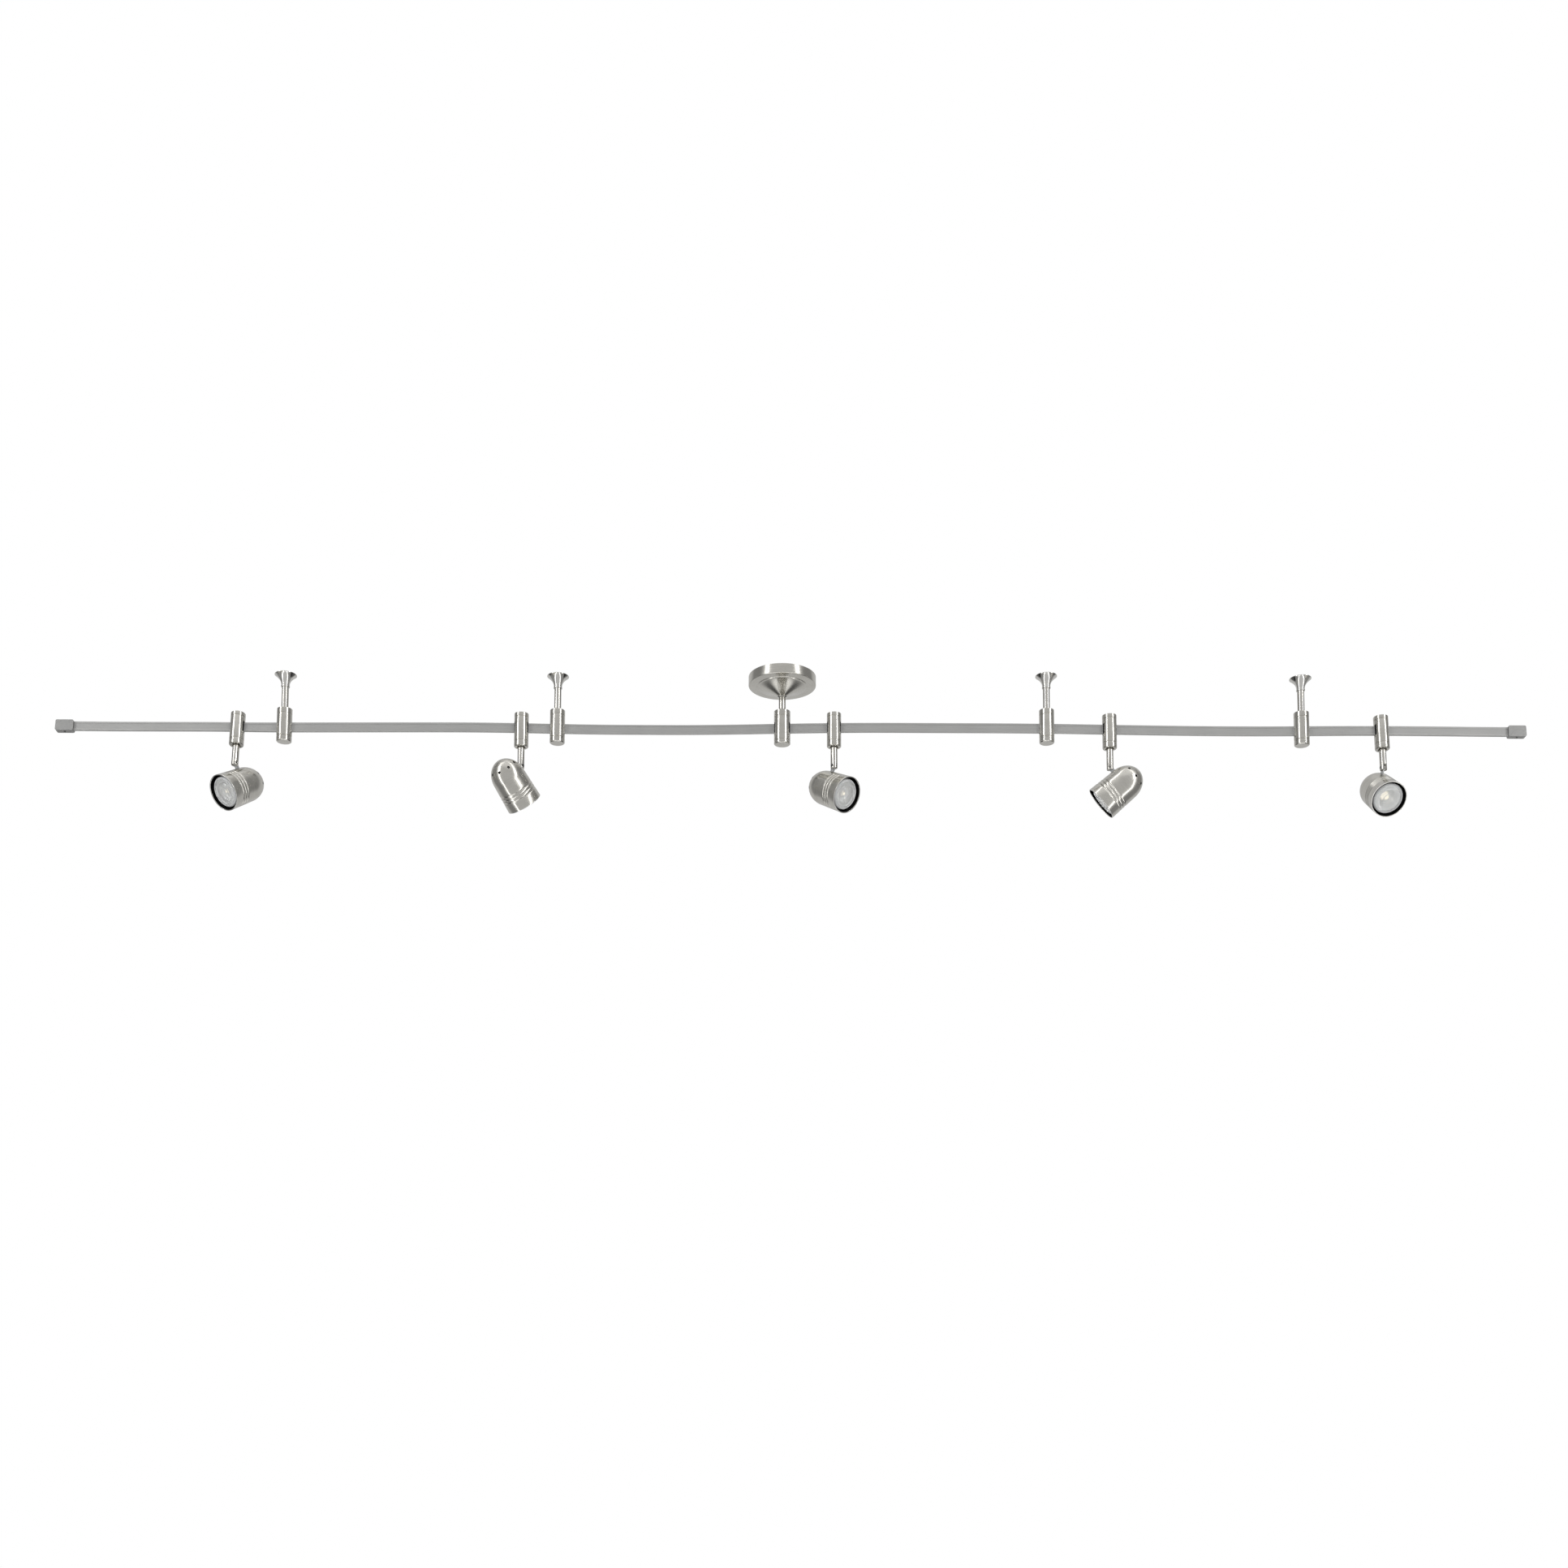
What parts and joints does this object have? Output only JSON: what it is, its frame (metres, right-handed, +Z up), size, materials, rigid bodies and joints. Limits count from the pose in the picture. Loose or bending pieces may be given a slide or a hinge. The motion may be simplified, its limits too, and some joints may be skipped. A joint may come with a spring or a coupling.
{
  "type": "track lighting fixture",
  "caption": "Ceiling track light: a flat rail in gentle waves on a canopy and standoffs, carrying lamp heads that swivel and tilt, in brushed nickel.",
  "frame": {"origin": "centre of the canopy's ceiling face", "axes": "+X along the rail, +Y away from the viewer, +Z up into the ceiling"},
  "size_m": [2.4416, 0.112, 0.2392],
  "materials": {
    "brushed_nickel": "satin nickel plate with fine brushing",
    "polished_nickel": "polished nickel plate",
    "rail_metal": "satin drawn bar",
    "web_plastic": "satin grey insulation",
    "cap_metal": "satin grey",
    "zinc_steel": "zinc plated sheet",
    "screw_steel": "dark machined steel",
    "bracket_steel": "satin pressed sheet",
    "brass": "turned and threaded",
    "earth_green": "dyed green earth screw",
    "lead_plastic": "insulated wire",
    "black_plastic": "moulded black insulator",
    "lamp_body": "clear patterned lens on a light lamp body",
    "socket_ceramic": "off-white lampholder"
  },
  "bodies": {
    "root": {"rail_core_left": "web_plastic", "rail_core_right": "web_plastic", "rail_bars_left": "rail_metal", "rail_bars_right": "rail_metal", "end_cap_left": "cap_metal", "end_cap_right": "cap_metal", "grub_screws": "screw_steel", "canopy_cover": "brushed_nickel", "canopy_crossbar": "zinc_steel", "canopy_nipple": "brass", "canopy_collar": "polished_nickel", "earth_screw": "earth_green", "feed_stem": "brushed_nickel", "feed_clamp": "brushed_nickel", "feed_leads": "lead_plastic", "clamp_jaws": "brushed_nickel", "contact_blocks": "black_plastic", "standoff_cup_1": "polished_nickel", "standoff_cup_2": "polished_nickel", "standoff_cup_3": "polished_nickel", "standoff_cup_4": "polished_nickel", "standoff_bases": "zinc_steel", "standoff_rods": "brushed_nickel", "standoff_clamps": "brushed_nickel", "standoff_caps": "brushed_nickel", "head_clamp_1": "brushed_nickel", "head_clamp_2": "brushed_nickel", "head_clamp_3": "brushed_nickel", "head_clamp_4": "brushed_nickel", "head_clamp_5": "brushed_nickel"},
    "stem_1": {"stem_1": "brushed_nickel", "pivot_screw_1": "screw_steel"},
    "head_1": {"shell_1": "brushed_nickel", "bracket_1": "bracket_steel", "lamp_1": "lamp_body", "socket_1": "socket_ceramic"},
    "stem_2": {"stem_2": "brushed_nickel", "pivot_screw_2": "screw_steel"},
    "head_2": {"shell_2": "brushed_nickel", "bracket_2": "bracket_steel", "lamp_2": "lamp_body", "socket_2": "socket_ceramic"},
    "stem_3": {"stem_3": "brushed_nickel", "pivot_screw_3": "screw_steel"},
    "head_3": {"shell_3": "brushed_nickel", "bracket_3": "bracket_steel", "lamp_3": "lamp_body", "socket_3": "socket_ceramic"},
    "stem_4": {"stem_4": "brushed_nickel", "pivot_screw_4": "screw_steel"},
    "head_4": {"shell_4": "brushed_nickel", "bracket_4": "bracket_steel", "lamp_4": "lamp_body", "socket_4": "socket_ceramic"},
    "stem_5": {"stem_5": "brushed_nickel", "pivot_screw_5": "screw_steel"},
    "head_5": {"shell_5": "brushed_nickel", "bracket_5": "bracket_steel", "lamp_5": "lamp_body", "socket_5": "socket_ceramic"}
  },
  "joints": [
    {"name": "swivel_1", "type": "hinge", "parent": "root", "child": "stem_1", "pos_m": [-0.90419, -0.00607, -0.12028], "axis": [-0.0037, 0.1218, 0.9925], "range_deg": [-175, 175]},
    {"name": "tilt_1", "type": "hinge", "parent": "stem_1", "child": "head_1", "pos_m": [-0.90406, -0.01033, -0.15501], "axis": [0.7739, -0.6283, 0.08], "range_deg": [-37, 53]},
    {"name": "swivel_2", "type": "hinge", "parent": "root", "child": "stem_2", "pos_m": [-0.4331, -0.00042, -0.1205], "axis": [0, 0, 1], "range_deg": [-175, 175]},
    {"name": "tilt_2", "type": "hinge", "parent": "stem_2", "child": "head_2", "pos_m": [-0.4331, -0.00042, -0.1555], "axis": [-0.7719, 0.6357, 0], "range_deg": [-44.5, 45.5]},
    {"name": "swivel_3", "type": "hinge", "parent": "root", "child": "stem_3", "pos_m": [0.086, -0.00367, -0.1205], "axis": [0, 0, 1], "range_deg": [-175, 175]},
    {"name": "tilt_3", "type": "hinge", "parent": "stem_3", "child": "head_3", "pos_m": [0.086, -0.00367, -0.1555], "axis": [0.6669, 0.7452, 0], "range_deg": [-26.5, 63.5]},
    {"name": "swivel_4", "type": "hinge", "parent": "root", "child": "stem_4", "pos_m": [0.544, 0.00109, -0.1205], "axis": [0, 0, 1], "range_deg": [-175, 175]},
    {"name": "tilt_4", "type": "hinge", "parent": "stem_4", "child": "head_4", "pos_m": [0.544, 0.00109, -0.1555], "axis": [-0.2394, -0.9709, 0], "range_deg": [-38.5, 51.5]},
    {"name": "swivel_5", "type": "hinge", "parent": "root", "child": "stem_5", "pos_m": [0.99681, 0.00174, -0.12043], "axis": [-0.0002, 0.0698, 0.9976], "range_deg": [-175, 175]},
    {"name": "tilt_5", "type": "hinge", "parent": "stem_5", "child": "head_5", "pos_m": [0.99681, -0.0007, -0.15534], "axis": [0.9922, 0.1247, -0.0085], "range_deg": [-41, 49]}
  ]
}
